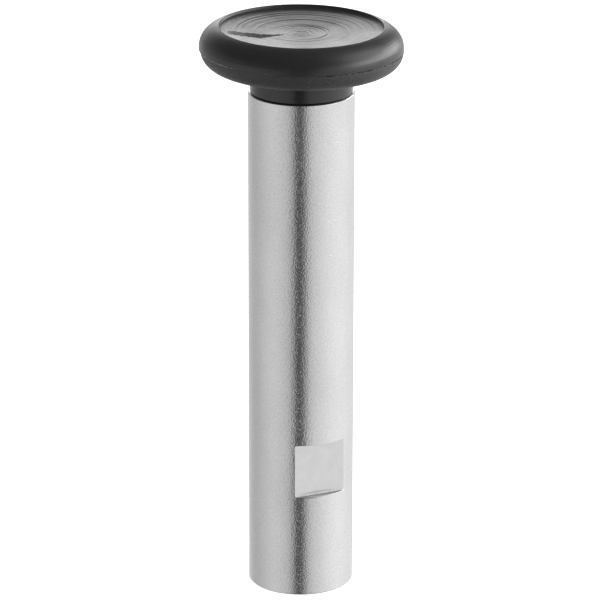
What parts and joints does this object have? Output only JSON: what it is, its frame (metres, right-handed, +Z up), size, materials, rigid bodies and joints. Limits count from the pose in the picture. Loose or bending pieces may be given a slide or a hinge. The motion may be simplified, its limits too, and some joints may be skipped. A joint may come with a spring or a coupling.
{
  "type": "bumper post",
  "caption": "Solid round steel post with a milled set-screw flat near its lower end and a mushroom-shaped moulded rubber bumper screwed to its top.",
  "frame": {"origin": "centre of the post's lower end face", "axes": "+Z up along the post's axis towards the rubber bumper; -Y is the outward normal of the milled flat"},
  "size_m": [0.048, 0.048, 0.1384],
  "materials": {
    "post_steel": "satin, bead-blasted grain; the milled flat is smoother",
    "moulded_rubber": "semi-matt hard rubber, smooth above the mould's parting line and slightly rough below it",
    "insert_steel": "bright zinc plate"
  },
  "bodies": {
    "root": {"post": "post_steel", "pad": "moulded_rubber", "insert_plate": "insert_steel", "stud": "insert_steel"}
  },
  "joints": []
}
